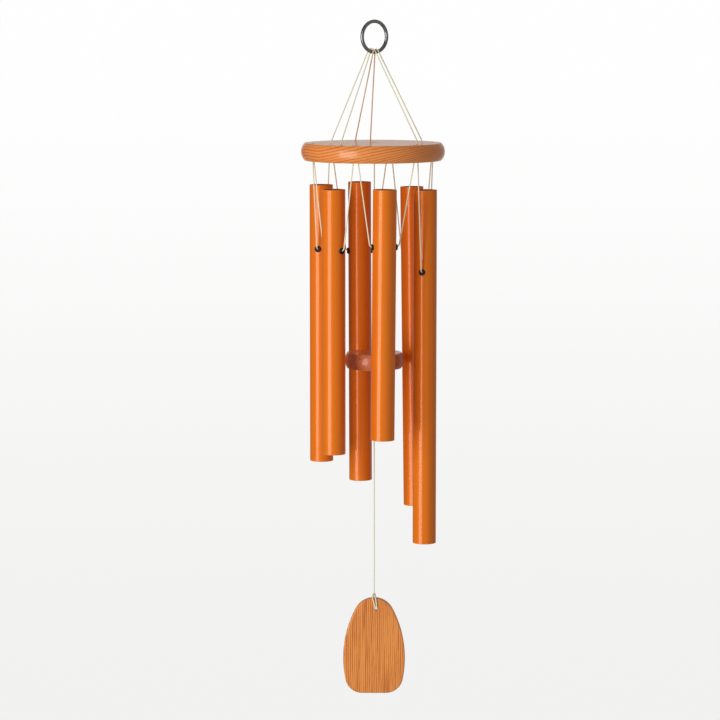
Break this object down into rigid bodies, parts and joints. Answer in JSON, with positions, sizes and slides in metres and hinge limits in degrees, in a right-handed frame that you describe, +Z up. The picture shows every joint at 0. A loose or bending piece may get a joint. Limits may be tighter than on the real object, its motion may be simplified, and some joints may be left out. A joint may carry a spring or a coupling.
{
  "type": "wind chime",
  "caption": "Hanging wind chime: tuned metal tubes on cord slings under a round wooden disc, with a round clapper, a wooden wind sail and a ring to hang it by.",
  "frame": {"origin": "where the outside hook bears, on the inside of the hanging ring's top", "axes": "+Z up; +X to the right and +Y away as seen from the front of the wind sail"},
  "size_m": [0.1283, 0.1282, 0.6101],
  "materials": {
    "ring_metal": "dark, lightly worn",
    "disc_wood": "stained, satin lacquer",
    "clapper_wood": "stained, satin lacquer",
    "sail_wood": "stained, satin lacquer",
    "tube_metal": "satin copper-coloured anodising",
    "grommet_rubber": "matte",
    "cord": "braided polyester"
  },
  "bodies": {
    "ring": {"hanging_ring": "ring_metal"},
    "canopy": {"top_disc": "disc_wood", "suspension_cord_1": "cord", "suspension_cord_2": "cord", "suspension_cord_3": "cord", "suspension_stitches": "cord", "suspension_knot": "cord", "sling_stitches": "cord"},
    "sling_1": {"sling_cord_1": "cord"},
    "chime_1": {"tube_1": "tube_metal", "grommets_1": "grommet_rubber"},
    "sling_2": {"sling_cord_2": "cord"},
    "chime_2": {"tube_2": "tube_metal", "grommets_2": "grommet_rubber"},
    "sling_3": {"sling_cord_3": "cord", "sling_knot": "cord"},
    "chime_3": {"tube_3": "tube_metal", "grommets_3": "grommet_rubber"},
    "sling_4": {"sling_cord_4": "cord"},
    "chime_4": {"tube_4": "tube_metal", "grommets_4": "grommet_rubber"},
    "sling_5": {"sling_cord_5": "cord"},
    "chime_5": {"tube_5": "tube_metal", "grommets_5": "grommet_rubber"},
    "sling_6": {"sling_cord_6": "cord"},
    "chime_6": {"tube_6": "tube_metal", "grommets_6": "grommet_rubber"},
    "centre_pivot": {"centre_knot": "cord"},
    "clapper_line": {"centre_cord": "cord", "clapper": "clapper_wood"},
    "sail_pivot": {"stop_knot": "cord"},
    "sail_line": {"sail_cord": "cord", "sail_knot": "cord", "sail_loops": "cord"},
    "sail": {"wind_sail": "sail_wood"}
  },
  "joints": [
    {"name": "canopy_swing", "type": "hinge", "parent": "ring", "child": "canopy", "pos_m": [0, 0, -0.0256], "axis": [-0.7986, -0.6018, 0], "range_deg": [-15, 15]},
    {"name": "sling_1_swing", "type": "hinge", "parent": "canopy", "child": "sling_1", "pos_m": [0.04511, -0.01456, -0.1201], "axis": [-0.2807, -0.9598, 0], "range_deg": [-2.5, 15]},
    {"name": "tube_1_tilt", "type": "hinge", "parent": "sling_1", "child": "chime_1", "pos_m": [0.04511, -0.01456, -0.21956], "axis": [0.2807, 0.9598, 0], "range_deg": [-15, 3]},
    {"name": "sling_2_swing", "type": "hinge", "parent": "canopy", "child": "sling_2", "pos_m": [0.03367, 0.03237, -0.1201], "axis": [0.6909, -0.723, 0], "range_deg": [-2.5, 15]},
    {"name": "tube_2_tilt", "type": "hinge", "parent": "sling_2", "child": "chime_2", "pos_m": [0.03484, 0.03114, -0.21326], "axis": [-0.6908, 0.7229, -0.018], "range_deg": [-15, 3]},
    {"name": "sling_3_swing", "type": "hinge", "parent": "canopy", "child": "sling_3", "pos_m": [-0.01269, 0.04593, -0.1201], "axis": [-0.9715, -0.2368, 0], "range_deg": [-15, 2.5]},
    {"name": "tube_3_tilt", "type": "hinge", "parent": "sling_3", "child": "chime_3", "pos_m": [-0.01298, 0.04585, -0.206], "axis": [0.9715, 0.2368, 0.0037], "range_deg": [-3, 15]},
    {"name": "sling_4_swing", "type": "hinge", "parent": "canopy", "child": "sling_4", "pos_m": [-0.04761, 0.01256, -0.1201], "axis": [-0.2807, -0.9598, 0], "range_deg": [-15, 2.5]},
    {"name": "tube_4_tilt", "type": "hinge", "parent": "sling_4", "child": "chime_4", "pos_m": [-0.04761, 0.01256, -0.2011], "axis": [0.2807, 0.9598, 0], "range_deg": [-3, 15]},
    {"name": "sling_5_swing", "type": "hinge", "parent": "canopy", "child": "sling_5", "pos_m": [-0.03617, -0.03437, -0.1201], "axis": [0.6909, -0.723, 0], "range_deg": [-15, 2.5]},
    {"name": "tube_5_tilt", "type": "hinge", "parent": "sling_5", "child": "chime_5", "pos_m": [-0.03617, -0.03437, -0.19914], "axis": [-0.6909, 0.723, 0], "range_deg": [-3, 15]},
    {"name": "sling_6_swing", "type": "hinge", "parent": "canopy", "child": "sling_6", "pos_m": [0.01019, -0.04793, -0.1201], "axis": [-0.9715, -0.2368, 0], "range_deg": [-2.5, 15]},
    {"name": "tube_6_tilt", "type": "hinge", "parent": "sling_6", "child": "chime_6", "pos_m": [0.00859, -0.04832, -0.19526], "axis": [0.9715, 0.2368, -0.0084], "range_deg": [-15, 3]},
    {"name": "clapper_turn", "type": "hinge", "parent": "canopy", "child": "centre_pivot", "pos_m": [0, 0, -0.1088], "axis": [0, 0, 1], "range_deg": [-180, 180]},
    {"name": "clapper_swing", "type": "hinge", "parent": "centre_pivot", "child": "clapper_line", "pos_m": [0, 0, -0.1088], "axis": [0, 1, 0], "range_deg": [-2.5, 2.5]},
    {"name": "sail_turn", "type": "hinge", "parent": "clapper_line", "child": "sail_pivot", "pos_m": [0, 0, -0.3103], "axis": [0, 0, 1], "range_deg": [-180, 180]},
    {"name": "sail_swing", "type": "hinge", "parent": "sail_pivot", "child": "sail_line", "pos_m": [0, 0, -0.3103], "axis": [0, -1, 0], "range_deg": [-12, 12]},
    {"name": "sail_rock", "type": "hinge", "parent": "sail_line", "child": "sail", "pos_m": [0.0019, 0, -0.5286], "axis": [0, 1, 0], "range_deg": [-15, 15]}
  ]
}
